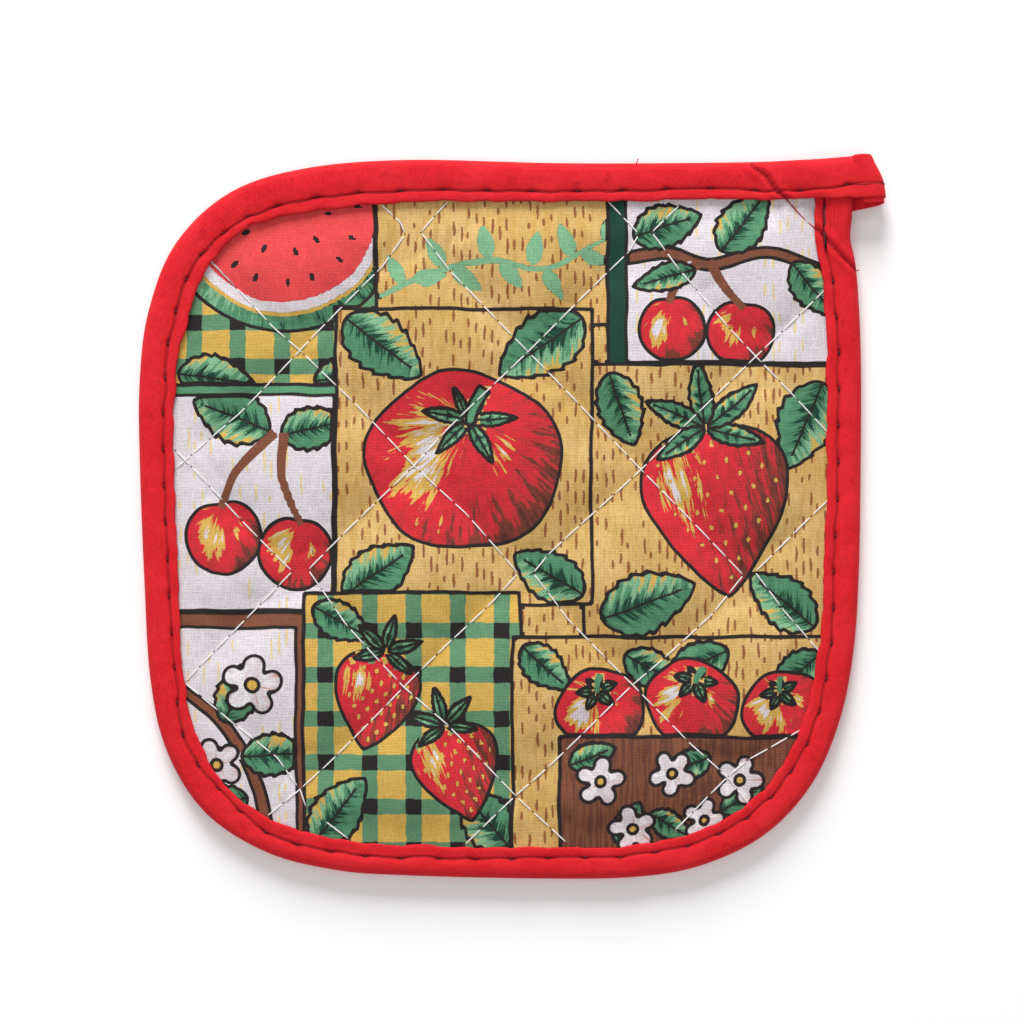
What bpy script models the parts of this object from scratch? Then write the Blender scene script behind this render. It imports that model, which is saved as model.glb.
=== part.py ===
"""Quilted pot holder, lying on its back on a table.

A square pad of printed cotton, filling and backing is quilted through in crossing zigzags and
bound all round with a folded bias tape. The tape starts on the right side, runs round by the
bottom, the left and the top, laps over its own start at the top right corner, and its tail
folds back under that corner as a hanging loop.

Sizes are in metres. The origin is under the middle of the whole, on the table, +Y is the
pot holder's top and +Z its printed face.
"""

import math

import bmesh
import bpy
import numpy as np
from mathutils import Vector
from mathutils.geometry import delaunay_2d_cdt

MM = 0.001

# ---------------------------------------------------------------- driving dimensions

TAPE = 1.0 * MM              # the folded bias tape, both its plies
GAP = 0.3 * MM               # between neighbouring pieces
RIM_HALF = 1.3 * MM          # half the pad's thickness where the tape is sewn over it
RIM_TAPER = 0.6              # of that is left at the pad's cut rim
CORNER_RIM_HALF = 0.7 * MM   # RIM_HALF in the pressed corner, under two laps of tape
REST_HALF = RIM_HALF + GAP + TAPE    # the pad's middle layer above the table
CROWN = 4.4 * MM             # top of a full diamond above the middle layer
PUFF_POWER = 0.45            # below 1 gives full, steep-sided diamonds
CHANNEL_TOP = 1.7 * MM       # a sewn channel above the middle layer, on the printed face
CHANNEL_BACK = 1.8 * MM      # and below it, on the back
RISE = 9.0 * MM              # from the tape's inner edge to a diamond's full height
RISE_AT_TAPE = 0.25          # share of that rise that the filling springs up at once

CORNER_LIFT = 2.0 * MM       # the corner with the loop stands this much higher
CREASE_AT = 104.8 * MM       # that corner bends up along a diagonal, this far from the origin
CREASE_DIRECTION = (0.726, 0.687)
CREASE_RUN = 10.0 * MM
BEND_EASE = 0.2 * MM         # more room for the pad inside the tape where both bend

# The tape's outer edge, from its hidden start in the top right corner clockwise to the end of
# the top run, with the width of tape that shows on the printed face. Millimetres.
EDGE = (
    # x,     y,    tape width
    (85.1,  86.9,   9.3),
    (85.1,  76.2,   9.3),
    (84.8,  69.5,   9.0),
    (86.4,  61.2,   8.8),
    (87.5,  40.0,   8.9),
    (87.4,   7.3,   8.9),
    (86.9, -16.4,   9.0),
    (85.6, -34.0,   9.1),
    (82.2, -51.0,   9.2),
    (75.2, -67.0,   9.2),
    (63.4, -79.7,   9.0),
    (47.2, -87.5,   8.8),
    (29.7, -90.4,   8.3),
    (4.9,  -90.7,   7.9),
    (-27.0, -89.9,  7.9),
    (-44.1, -88.6,  8.1),
    (-61.6, -84.1,  8.4),
    (-76.9, -74.2,  8.6),
    (-86.4, -59.1,  8.7),
    (-90.6, -41.4,  8.6),
    (-92.2, -16.3,  8.7),
    (-93.4,  15.3,  8.9),
    (-93.4,  34.0,  9.2),
    (-91.3,  51.0, 10.4),
    (-84.7,  68.0, 10.2),
    (-71.6,  80.8, 10.2),
    (-53.5,  87.1, 11.2),
    (-27.2,  89.5, 10.8),
    (12.7,   88.7,  9.9),
    (48.7,   88.8,  9.6),
    (72.4,   89.3, 10.0),
    (85.2,   90.2, 10.8),
)
EDGE_STEP = 6.0 * MM         # length of tape between two rings of its mesh, halved by the
                             # crease
LAP_FROM = 71.0 * MM         # along the top run, x where the tape climbs over its own start
LAP_RUN = 4.5 * MM

SEWN_LINE = 2.2 * MM         # from the front flap's inner edge to its sunk line of stitches
SEWN_DEPTH = 0.5 * MM
SEWN_HALF_WIDTH = 1.2 * MM
ROLL = 2.4 * MM              # the tape rounds over the edge within this
INNER_ROLL = 1.9 * MM
BACK_SHORTER = 1.0 * MM      # the back flap reaches less far in than the front one

# Where the zigzag seams meet, row by row down the pad. A row's meeting points lie every two
# half pitches; even and odd rows are staggered by one. Millimetres.
QUILT_ROWS = (
    # y,    middle x, half pitch
    (98.7,   4.0,  29.0),
    (70.7,   4.1,  29.1),
    (41.2,   4.0,  28.5),
    (12.7,   3.8,  28.4),
    (-13.8,  3.3,  28.1),
    (-42.1,  2.0,  28.2),
    (-69.1,  1.8,  27.7),
    (-97.1,  1.3,  27.8),
)
QUILT_COLUMNS = 4            # half pitches out from the middle on each side
DIAMOND_STEPS = 16           # mesh steps along a diamond's side by the crease; elsewhere half
BY_TAPE = 0.5 * MM           # from the tape's inner edge to the line where the pad is free
CLEAR_OF_EDGES = 1.8 * MM    # between the diamonds' mesh points and the pad's edge lines
ROUNDING = 0.05 * MM         # slack for the flat facets of curved faces

# The hanging loop: two legs of tape and the fold between them.
LOOP_FOLD_TOP = (92.2, 90.5)     # outermost line of the fold, its two ends, millimetres
LOOP_FOLD_BOTTOM = (93.7, 79.7)
LOOP_RETURN = 8.0 * MM       # the leg that lies under the corner, from the fold
FOLD_STEPS = 13              # odd, so that a hook bears on an upright facet

# Colours as the photo shows them, linear RGB, with roughness.
PRINT_COLOUR = (0.46, 0.34, 0.22)
TAPE_COLOUR = (0.76, 0.012, 0.016)
CLOTH_ROUGHNESS = 0.85


# ---------------------------------------------------------------- shared shapes

def smooth(t):
    """0 below 0, 1 above 1, and an even S between."""
    t = np.clip(t, 0.0, 1.0)
    return t * t * (3.0 - 2.0 * t)


def corner_share(x, y):
    """0 on the flat pad, 1 on the lifted corner past the crease."""
    past_crease = x * CREASE_DIRECTION[0] + y * CREASE_DIRECTION[1] - CREASE_AT
    return smooth(past_crease / CREASE_RUN)


def near_crease(x, y):
    """Whether the cloth bends or is lifted here, so that its mesh needs points."""
    return x * CREASE_DIRECTION[0] + y * CREASE_DIRECTION[1] > CREASE_AT - CREASE_RUN


def middle_height(x, y):
    """Height of the pad's middle layer over the table."""
    return REST_HALF + CORNER_LIFT * corner_share(x, y)


def rim_half(x, y):
    """Half the room that the tape leaves the pad's squeezed rim, without the gap."""
    return RIM_HALF + (CORNER_RIM_HALF - RIM_HALF) * corner_share(x, y)


def pad_rim_half(x, y):
    """Half the pad's thickness at its rim, a little less where it bends."""
    return rim_half(x, y) - (BEND_EASE if near_crease(x, y) else 0.0)


def catmull_rom(rows, per_span):
    """Points of a smooth curve through the rows, per_span of them to each stretch."""
    rows = np.asarray(rows, dtype=float)
    ends = np.vstack((2 * rows[0] - rows[1], rows, 2 * rows[-1] - rows[-2]))
    points = []
    for i in range(len(rows) - 1):
        a, b, c, d = ends[i:i + 4]
        for t in np.linspace(0.0, 1.0, per_span, endpoint=False):
            points.append(0.5 * (2 * b + (c - a) * t + (2 * a - 5 * b + 4 * c - d) * t ** 2
                                 + (3 * b - a - 3 * c + d) * t ** 3))
    points.append(rows[-1])
    return np.array(points)


def edge_stations():
    """Evenly spaced places along the tape: point, inward direction and tape width."""
    curve = catmull_rom(EDGE, 24) * MM
    steps = np.linalg.norm(np.diff(curve[:, :2], axis=0), axis=1)
    along = np.concatenate(([0.0], np.cumsum(steps)))
    places = np.linspace(0.0, along[-1], round(along[-1] / EDGE_STEP) + 1)
    halfway = (places[:-1] + places[1:]) / 2
    creased = [near_crease(*(np.interp(at, along, curve[:, k]) for k in range(2)))
               for at in halfway]
    places = np.sort(np.concatenate((places, halfway[creased])))
    x, y, width = (np.interp(places, along, curve[:, k]) for k in range(3))
    ahead = np.stack((np.gradient(x), np.gradient(y)), axis=1)
    ahead /= np.linalg.norm(ahead, axis=1, keepdims=True)
    inward = np.stack((ahead[:, 1], -ahead[:, 0]), axis=1)
    return np.stack((x, y), axis=1), inward, width


def inset_outline(points, inward, insets):
    """The edge moved in by each place's inset, less what would leave or near the other run."""
    moved = points + inward * insets[:, None]
    start_x = moved[0][0]
    kept = []
    for candidate in moved:
        clear = np.linalg.norm(points - candidate, axis=1) - insets
        past_start = candidate[1] > moved[0][1] and candidate[0] > start_x
        if clear.min() > -ROUNDING and not past_start:
            kept.append(candidate)
    return np.array(kept)


def distance_to(outline, point):
    """Shortest way from a point to a closed outline."""
    start = outline
    run = np.roll(outline, -1, axis=0) - start
    share = ((point - start) * run).sum(axis=1) / (run * run).sum(axis=1)
    nearest = start + run * np.clip(share, 0.0, 1.0)[:, None]
    return np.linalg.norm(nearest - point, axis=1).min()


def inside(outline, point):
    """Whether a closed outline goes round the point."""
    x, y = point
    x0, y0 = outline[:, 0], outline[:, 1]
    x1, y1 = np.roll(x0, -1), np.roll(y0, -1)
    spans = (y0 > y) != (y1 > y)
    cross = x0[spans] + (y - y0[spans]) / (y1[spans] - y0[spans]) * (x1[spans] - x0[spans])
    return np.count_nonzero(cross > x) % 2 == 1


def fabric(name, colour):
    """A plain woven cotton."""
    material = bpy.data.materials.new(name)
    material.use_nodes = True
    shader = material.node_tree.nodes["Principled BSDF"]
    shader.inputs["Base Color"].default_value = (*colour, 1.0)
    shader.inputs["Roughness"].default_value = CLOTH_ROUGHNESS
    shader.inputs["Metallic"].default_value = 0.0
    material.diffuse_color = (*colour, 1.0)
    return material


def add_object(name, bm, material):
    """Turn a closed bmesh into a named, smooth-shaded object."""
    bmesh.ops.recalc_face_normals(bm, faces=bm.faces)
    mesh = bpy.data.meshes.new(name)
    bm.to_mesh(mesh)
    bm.free()
    mesh.materials.append(material)
    mesh.shade_smooth()
    mesh.set_sharp_from_angle(angle=math.radians(50))
    piece = bpy.data.objects.new(name, mesh)
    bpy.context.collection.objects.link(piece)
    return piece


def close_end(bm, outer, inner):
    """Fill the cut end of a strip, between the points of its two faces."""
    i, j = 0, 0
    while i < len(outer) - 1 or j < len(inner) - 1:
        outer_left, inner_left = i < len(outer) - 1, j < len(inner) - 1
        if outer_left and inner_left:
            outer_step = (outer[i + 1].co - inner[j].co).length
            outer_left = outer_step < (outer[i].co - inner[j + 1].co).length
        if outer_left:
            bm.faces.new((outer[i], outer[i + 1], inner[j]))
            i += 1
        else:
            bm.faces.new((outer[i], inner[j + 1], inner[j]))
            j += 1


def sweep_strip(bm, rings, outer_count):
    """Join equal sections of a strip, whose first outer_count points are its outer face."""
    loops = [[bm.verts.new(point) for point in ring] for ring in rings]
    for near, far in zip(loops, loops[1:]):
        for k in range(len(near)):
            after = (k + 1) % len(near)
            bm.faces.new((near[k], near[after], far[after], far[k]))
    for end in (loops[0], loops[-1]):
        close_end(bm, end[:outer_count], end[:outer_count - 1:-1])


# ---------------------------------------------------------------- the pad

def seam_meeting(a, b):
    """Meeting point of seam a and seam b, counted along the two diagonals."""
    y, middle_x, half_pitch = QUILT_ROWS[a + b]
    return np.array((middle_x + (a - b) * half_pitch, y)) * MM


def quilt_points():
    """Mesh points of the diamonds: place and puff, 0 on a seam and 1 mid-diamond."""
    points = {}
    for a in range(-QUILT_COLUMNS, len(QUILT_ROWS)):
        for b in range(-QUILT_COLUMNS, len(QUILT_ROWS)):
            if not 0 <= a + b <= len(QUILT_ROWS) - 3 or abs(a - b) > QUILT_COLUMNS:
                continue
            top, right = seam_meeting(a, b), seam_meeting(a + 1, b)
            left, bottom = seam_meeting(a, b + 1), seam_meeting(a + 1, b + 1)
            for i in range(DIAMOND_STEPS + 1):
                for j in range(DIAMOND_STEPS + 1):
                    s, t = i / DIAMOND_STEPS, j / DIAMOND_STEPS
                    place = ((1 - s) * (1 - t) * top + s * (1 - t) * right
                             + (1 - s) * t * left + s * t * bottom)
                    if (i % 2 or j % 2) and not near_crease(*place):
                        continue
                    puff = (16 * s * (1 - s) * t * (1 - t)) ** PUFF_POWER
                    points[a * DIAMOND_STEPS + i, b * DIAMOND_STEPS + j] = (place, puff)
    return list(points.values())


def build_pad(stations):
    """The filled, quilted square, thin at its rim where the tape covers it."""
    edge, inward, width = stations
    rim = inset_outline(edge, inward, np.full(len(edge), TAPE + GAP + ROUNDING))
    under_tape = inset_outline(edge, inward, width + BY_TAPE)

    places = [Vector(p) for p in rim] + [Vector(p) for p in under_tape]
    halves = [(RIM_TAPER * pad_rim_half(*p),) * 2 for p in rim]
    halves += [(pad_rim_half(*p),) * 2 for p in under_tape]
    for place, puff in quilt_points():
        if min(distance_to(rim, place), distance_to(under_tape, place)) < CLEAR_OF_EDGES:
            continue
        squeezed = pad_rim_half(*place)
        if not inside(under_tape, place):
            if inside(rim, place) and near_crease(*place):
                places.append(Vector(place))
                halves.append((squeezed, squeezed))
            continue
        way_in = distance_to(under_tape, place) / RISE
        rise = smooth(RISE_AT_TAPE + (1.0 - RISE_AT_TAPE) * way_in)
        top = CHANNEL_TOP + (CROWN - CHANNEL_TOP) * puff
        back = CHANNEL_BACK + (CROWN - CHANNEL_BACK) * puff
        places.append(Vector(place))
        halves.append((squeezed + (top - squeezed) * rise,
                       min(REST_HALF, squeezed + (back - squeezed) * rise)))

    n_rim, n_tape = len(rim), len(under_tape)
    borders = [(k, (k + 1) % n_rim) for k in range(n_rim)]
    borders += [(n_rim + k, n_rim + (k + 1) % n_tape) for k in range(n_tape)]
    face_inside = 1
    places, _, triangles, origin, _, _ = delaunay_2d_cdt(
        places, borders, [list(range(n_rim))], face_inside, 1e-7)

    bm = bmesh.new()
    top, back = [], []
    for place, source in zip(places, origin):
        upper, lower = halves[source[0]]
        middle = middle_height(place.x, place.y)
        top.append(bm.verts.new((place.x, place.y, middle + upper)))
        back.append(bm.verts.new((place.x, place.y, middle - lower)))
    for a, b, c in triangles:
        bm.faces.new((top[a], top[b], top[c]))
        bm.faces.new((back[c], back[b], back[a]))
    at = {source[0]: k for k, source in enumerate(origin)}
    for k in range(n_rim):
        here, after = at[k], at[(k + 1) % n_rim]
        bm.faces.new((top[here], top[after], back[after], back[here]))
    return add_object("pad", bm, fabric("printed_cotton", PRINT_COLOUR))


# ---------------------------------------------------------------- the binding

def tape_section(width):
    """The tape's C section: its outer face from front to back, then its inner face back.

    Each row is the way in from the pot holder's edge, the side of the pad (1 front, -1 back,
    less on the fold between) and the height over that side's inner face. The front flap is
    thinned along the sewn line and rounds off over the edge; the back flap lies flat.
    """
    back_width = width - BACK_SHORTER
    sewn = width - SEWN_LINE
    outer = (
        (width, 1, TAPE),
        (sewn + SEWN_HALF_WIDTH, 1, TAPE),
        (sewn, 1, TAPE - SEWN_DEPTH),
        (sewn - SEWN_HALF_WIDTH, 1, TAPE),
        (ROLL, 1, TAPE),
        (ROLL / 3, 1, 0.3 * TAPE),
        (0.0, 0.5, 0.0),
        (0.0, -0.5, 0.0),
        (ROLL / 3, -1, -0.5 * TAPE),
        (ROLL, -1, -TAPE),
        (back_width, -1, -TAPE),
    )
    inner = (
        (back_width, -1, 0.0),
        (back_width / 2, -1, 0.0),
        (INNER_ROLL, -1, 0.0),
        (TAPE, -0.5, 0.0),
        (TAPE, 0.5, 0.0),
        (INNER_ROLL, 1, 0.0),
        (back_width / 2, 1, 0.0),
        (width, 1, 0.0),
    )
    return outer, inner


def build_binding(stations):
    """One tape swept round the edge; its end climbs over its own start."""
    rings = []
    edge, inward, width = stations
    for number, (point, way_in, shown) in enumerate(zip(edge, inward, width)):
        last_run = number > len(edge) // 2
        lap = (TAPE + GAP) * smooth((point[0] - LAP_FROM) / LAP_RUN) * last_run
        ring = []
        outer, inner = tape_section(shown)
        for across, side, over in outer + inner:
            x, y = point + way_in * across
            inner_face = rim_half(x, y) + GAP + lap
            ring.append(Vector((x, y, middle_height(x, y) + side * inner_face + over)))
        rings.append(ring)
    bm = bmesh.new()
    sweep_strip(bm, rings, len(outer))
    return add_object("binding", bm, fabric("red_tape", TAPE_COLOUR))


# ---------------------------------------------------------------- the hanging loop

def build_loop(stations):
    """The tape's tail: out from the corner, round a fold and back under the corner."""
    edge, inward, width = stations
    end, across = edge[-1], inward[-1]
    ahead = np.array((-across[1], across[0]))
    side = end + ahead * GAP
    sides = (side, side + across * width[-1])
    top_face = middle_height(*end) + CORNER_RIM_HALF + 2 * (GAP + TAPE)
    radius = (top_face - TAPE) / 2          # of the fold, at the tape's mid thickness

    fold_top = np.array(LOOP_FOLD_TOP) * MM
    fold_down = np.array(LOOP_FOLD_BOTTOM) * MM - fold_top
    fold_down /= np.linalg.norm(fold_down)
    fold_out = np.array((-fold_down[1], fold_down[0]))
    axis_at = fold_out @ fold_top - radius - TAPE / 2

    def bent(flat_x, flat_y, offset):
        """A point of the flat tape, offset from its mid thickness, on the folded tape."""
        out = fold_out @ (flat_x, flat_y) - axis_at
        along_fold = fold_down @ (flat_x, flat_y)
        turn = min(max(out / radius, 0.0), math.pi)
        straight = out - turn * radius
        reach = (radius + offset) * math.sin(turn) + straight * math.cos(turn)
        height = TAPE / 2 + radius + (radius + offset) * math.cos(turn)
        x, y = fold_out * (axis_at + reach) + fold_down * along_fold
        return Vector((x, y, height))

    def length_to(out_wanted, side_point):
        """How far along the tape a side reaches a line parallel to the fold."""
        return (axis_at + out_wanted - fold_out @ side_point) / (fold_out @ ahead)

    outs = [radius * math.pi * k / FOLD_STEPS for k in range(FOLD_STEPS + 1)]
    outs.append(radius * math.pi + LOOP_RETURN)
    rings = []
    for out in [None] + outs:
        far, near = (side + ahead * (length_to(out, side) if out is not None else 0.0)
                     for side in sides)
        rings.append([bent(*far, TAPE / 2), bent(*near, TAPE / 2),
                      bent(*near, -TAPE / 2), bent(*far, -TAPE / 2)])
    bm = bmesh.new()
    sweep_strip(bm, rings, 2)
    return add_object("hanging_loop", bm, fabric("red_tape_tail", TAPE_COLOUR))


# ---------------------------------------------------------------- the pot holder

for leftover in list(bpy.data.objects):
    bpy.data.objects.remove(leftover)

tape_stations = edge_stations()
build_pad(tape_stations)
build_binding(tape_stations)
build_loop(tape_stations)
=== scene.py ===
"""A quilted pot holder of printed cotton with a red bias-tape edge, lying on a pale table."""

import math
import random

import bmesh
import bpy
import numpy as np
from mathutils import Matrix, Vector, noise
from mathutils.bvhtree import BVHTree


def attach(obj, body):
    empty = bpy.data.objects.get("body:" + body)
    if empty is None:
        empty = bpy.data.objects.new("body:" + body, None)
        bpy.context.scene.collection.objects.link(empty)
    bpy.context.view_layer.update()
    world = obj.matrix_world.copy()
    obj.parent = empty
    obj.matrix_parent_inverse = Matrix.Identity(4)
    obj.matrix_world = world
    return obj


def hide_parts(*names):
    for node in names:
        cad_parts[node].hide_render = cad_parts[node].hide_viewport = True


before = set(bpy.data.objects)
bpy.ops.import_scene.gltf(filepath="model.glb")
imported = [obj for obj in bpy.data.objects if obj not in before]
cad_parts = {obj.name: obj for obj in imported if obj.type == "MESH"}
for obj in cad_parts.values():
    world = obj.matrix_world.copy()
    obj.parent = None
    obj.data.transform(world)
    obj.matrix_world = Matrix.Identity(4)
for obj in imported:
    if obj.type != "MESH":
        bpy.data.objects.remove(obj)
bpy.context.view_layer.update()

MM = 0.001


# ---------------------------------------------------------------- the quilted pad
# A printed cotton front, cotton filling and a plain cotton back, laid together and quilted
# through with white thread in crossing zigzags. The filling stands up in diamonds between
# the seams, and the trimmed rim is squeezed flat inside the tape.

# The tape's outer edge as it lies, clockwise from its hidden start at the top right corner,
# with the width of tape that shows on the front and the way from the flap's inner edge to
# its line of stitches. Millimetres.
EDGE = (
    (85.1, 86.9, 9.3, 2.4), (85.1, 76.2, 9.3, 2.2), (84.8, 69.5, 9.0, 2.2),
    (86.4, 61.2, 8.8, 2.4), (87.5, 40.0, 8.9, 2.8), (87.4, 7.3, 8.9, 2.6),
    (86.9, -16.4, 9.0, 2.5), (85.6, -34.0, 9.1, 2.8), (82.2, -51.0, 9.2, 3.1),
    (75.2, -67.0, 9.2, 2.7), (63.4, -79.7, 9.0, 2.6), (47.2, -87.5, 8.8, 2.6),
    (29.7, -90.4, 8.3, 2.4), (4.9, -90.7, 7.9, 2.6), (-27.0, -89.9, 7.9, 3.1),
    (-44.1, -88.6, 8.1, 3.2), (-61.6, -84.1, 8.4, 3.5), (-76.9, -74.2, 8.6, 1.7),
    (-86.4, -59.1, 8.7, 3.2), (-90.6, -41.4, 8.6, 1.9), (-92.2, -16.3, 8.7, 2.4),
    (-93.4, 15.3, 8.9, 2.4), (-93.4, 34.0, 9.2, 2.5), (-91.3, 51.0, 10.4, 3.3),
    (-84.7, 68.0, 10.2, 3.1), (-71.6, 80.8, 10.2, 2.1), (-53.5, 87.1, 11.2, 3.0),
    (-27.2, 89.5, 10.8, 2.8), (12.7, 88.7, 9.9, 2.4), (48.7, 88.8, 9.6, 2.6),
    (72.4, 89.3, 10.0, 2.0), (85.2, 90.2, 10.8, 3.4),
)
CLOTH_STEP = 0.8 * MM
SHEET_HALF = 95 * MM         # half the square from which the pad is cut
RIM_IN = 1.6 * MM            # the pad's rim inside the tape's outer edge
RIM_HALF = 1.25 * MM         # half the pad's thickness there
CORNER_HALF = 0.65 * MM      # and in the pressed corner, under two laps of tape
MIDDLE = 2.6 * MM            # the middle of the filling above the table
CHANNEL = 1.5 * MM           # a sewn channel above the middle
CROWN = 4.4 * MM             # the top of a full diamond above the middle
BACK_CROWN = 2.55 * MM       # the table keeps the back flat
BETWEEN_SEAMS = 40.0 * MM
FULLNESS = 0.45              # how steeply the filling stands up beside a seam
RISE = 9.0 * MM              # from the tape to the diamonds' full height
RISE_AT_TAPE = 0.25          # the share of that height right beside the tape
SEAM_ROUND = 0.8 * MM
UNEVEN = 0.35 * MM           # how far the filling is thicker or thinner than usual
BLOWN_STEP = 1.7 * MM
BLOWN_HALF = 134 * MM        # half the slanting square from which the blown cloth is cut
BLOWN_FRAMES = 22
ENLARGED = 10.0
SPARE_CLOTH = 0.035
CORNER_LIFT = 2.0 * MM       # the corner with the loop bends up past a diagonal crease
CREASE_AT = 104.8 * MM
CREASE_RUN = 10.0 * MM
CREASE_DIRECTION = (0.726, 0.687)
CREASE_DEPTH, CREASE_WIDTH = 0.7 * MM, 0.9 * MM
CREASE_LINE = ((58.0, 92.0), (60.5, 87.3), (63.5, 85.2), (66.0, 81.6), (69.0, 79.2),
               (72.0, 75.7), (77.0, 71.2), (80.5, 67.2), (83.0, 64.7), (86.3, 61.5))

# The seams as sewn: those that run down to the right, then those that run up to the right.
SEAMS_DOWN = (
    ((-77.0, 65.6), (-59.7, 47.4), (-53.0, 41.7), (-38.0, 26.9), (-24.5, 12.9), (-11.5, 0.7),
     (1.5, -14.1)),
    ((-33.3, 78.7), (-27.8, 73.4), (-26.8, 70.7)),
    ((-22.8, 71.2), (-15.8, 61.7), (4.0, 41.4), (23.8, 20.7), (32.3, 11.9), (58.0, -14.6)),
    ((23.8, 79.2), (31.7, 70.7)),
    ((35.0, 71.2), (41.3, 62.4), (54.3, 47.4), (61.0, 40.2), (79.5, 20.6)),
    ((-84.3, 16.7), (-68.0, -0.6), (-55.0, -13.6)),
    ((-51.0, -13.3), (-41.5, -27.1), (-27.0, -42.6), (-16.0, -52.3), (1.0, -69.8),
     (13.8, -81.8)),
    ((-82.0, -41.6), (-70.3, -51.3), (-58.8, -60.1), (-53.0, -68.3), (-51.5, -72.8)),
    ((-47.0, -76.0), (-40.5, -81.1)),
    ((5.3, -14.1), (14.3, -26.1), (30.3, -42.1), (44.5, -56.8), (54.0, -65.1), (59.8, -72.6)),
    ((60.8, -13.8), (68.0, -23.6), (77.6, -34.4)),
)
SEAMS_UP = (
    ((-84.5, 11.7), (-68.1, 25.9), (-53.0, 41.7), (-32.3, 62.9), (-26.8, 70.7)),
    ((-22.8, 71.2), (-15.8, 79.2)),
    ((-51.0, -13.3), (-47.3, -9.6), (-34.8, 2.9), (-24.5, 12.9), (-16.3, 21.7), (4.0, 41.4),
     (15.5, 52.7), (29.3, 66.4), (31.7, 70.7)),
    ((35.0, 71.2), (42.0, 77.9)),
    ((5.3, -14.1), (9.3, -9.3), (32.3, 11.9), (61.0, 40.2), (75.0, 53.4), (79.8, 58.2)),
    ((-82.0, -41.6), (-75.3, -34.6), (-55.0, -13.6)),
    ((-61.5, -75.1), (-53.0, -68.3), (-46.0, -61.8), (-27.0, -42.6), (-15.8, -31.6),
     (-5.0, -21.3), (1.5, -14.1)),
    ((-12.0, -82.3), (1.0, -69.8), (9.0, -62.6), (30.3, -42.1), (37.0, -36.3),
     (50.3, -24.1), (58.0, -14.6)),
    ((60.8, -13.8), (64.5, -10.3), (77.0, 2.2), (79.6, 4.6)),
    ((40.5, -78.8), (54.0, -65.1), (59.0, -60.8), (75.0, -51.8)),
)


def eased(t):
    """0 below 0, 1 above 1, and an even S between."""
    t = np.clip(t, 0.0, 1.0)
    return t * t * (3.0 - 2.0 * t)


def hump(gap, width):
    """1 where there is no gap, falling away evenly over about that width."""
    return np.exp(-(gap / width) ** 2)


def smooth_run(rows, per_span):
    """Points of a smooth curve through the rows."""
    rows = np.asarray(rows, dtype=float)
    ends = np.vstack((2 * rows[0] - rows[1], rows, 2 * rows[-1] - rows[-2]))
    points = []
    for a, b, c, d in zip(ends, ends[1:], ends[2:], ends[3:]):
        for t in np.linspace(0.0, 1.0, per_span, endpoint=False):
            points.append(0.5 * (2 * b + (c - a) * t + (2 * a - 5 * b + 4 * c - d) * t ** 2
                                 + (3 * b - a - 3 * c + d) * t ** 3))
    return np.array(points + [rows[-1]])


def along_run(run, lengths, places):
    """The run's points at these places along it."""
    return np.stack([np.interp(places, lengths, column) for column in run.T], axis=1)


def evenly(points, step):
    """The same run in even steps of about that length, with the length so far of each."""
    points = np.asarray(points, dtype=float)
    spans = np.linalg.norm(np.diff(points[:, :2], axis=0), axis=1)
    sofar = np.concatenate(([0.0], np.cumsum(spans)))
    places = np.linspace(0.0, sofar[-1], max(2, round(sofar[-1] / step) + 1))
    return along_run(points, sofar, places), places


def headings(run):
    """The way ahead at each point of a run, and the way to its right."""
    ahead = np.gradient(run[:, :2], axis=0)
    ahead /= np.linalg.norm(ahead, axis=1, keepdims=True)
    return ahead, np.stack((ahead[:, 1], -ahead[:, 0]), axis=1)


def nearest(places, starts, ends):
    """For each place: its distance from the nearest segment, and the nearest point on it."""
    run = ends - starts
    away = places[:, None, :] - starts
    share = np.clip((away * run).sum(axis=2) / (run * run).sum(axis=1), 0.0, 1.0)
    gap = np.linalg.norm(away - run * share[..., None], axis=2)
    best = gap.argmin(axis=1)
    rows = np.arange(len(places))
    return gap[rows, best], starts[best] + run[best] * share[rows, best][:, None]


def within(outline, places):
    """Whether the outline goes round each place."""
    x, y = places[:, :1], places[:, 1:2]
    x0, y0 = outline[:, 0], outline[:, 1]
    x1, y1 = np.roll(x0, -1), np.roll(y0, -1)
    spans = (y0 > y) != (y1 > y)
    with np.errstate(divide="ignore", invalid="ignore"):
        cross = x0 + (y - y0) / (y1 - y0) * (x1 - x0)
    return (spans & (cross > x)).sum(axis=1) % 2 == 1


def depth_within(outline, places):
    """How far inside the outline each place lies, less than 0 outside."""
    gap, _ = nearest(places, outline, np.roll(outline, -1, axis=0))
    return np.where(within(outline, places), gap, -gap)


def wander(x, y, size, seed):
    """Soft unevenness from about -1 to 1, over places size apart."""
    return np.array([noise.noise((a / size, b / size, seed)) for a, b in zip(x, y)])


edge_run, _ = evenly(smooth_run(EDGE, 24) * MM, CLOTH_STEP)
_, edge_inward = headings(edge_run)
crease = np.array(CREASE_LINE) * MM


def from_crease(x, y):
    """How far each place is from the crease."""
    return nearest(np.stack((x, y), axis=1), crease[:-1], crease[1:])[0]


def corner_share(x, y):
    """0 on the flat pad, 1 on the lifted corner past the crease."""
    past = x * CREASE_DIRECTION[0] + y * CREASE_DIRECTION[1] - CREASE_AT
    return eased(past / CREASE_RUN)


def inside_edge(inset):
    """The closed outline that lies this far inside the tape's outer edge."""
    insets = np.broadcast_to(inset, len(edge_run))
    moved = edge_run[:, :2] + edge_inward * insets[:, None]
    kept = []
    for point in moved[::3]:
        clear = (np.linalg.norm(edge_run[:, :2] - point, axis=1) - insets).min()
        past_start = point[1] > moved[0][1] and point[0] > moved[0][0]
        if clear > -0.1 * MM and not past_start:
            kept.append(point)
    return np.array(kept)


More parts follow.
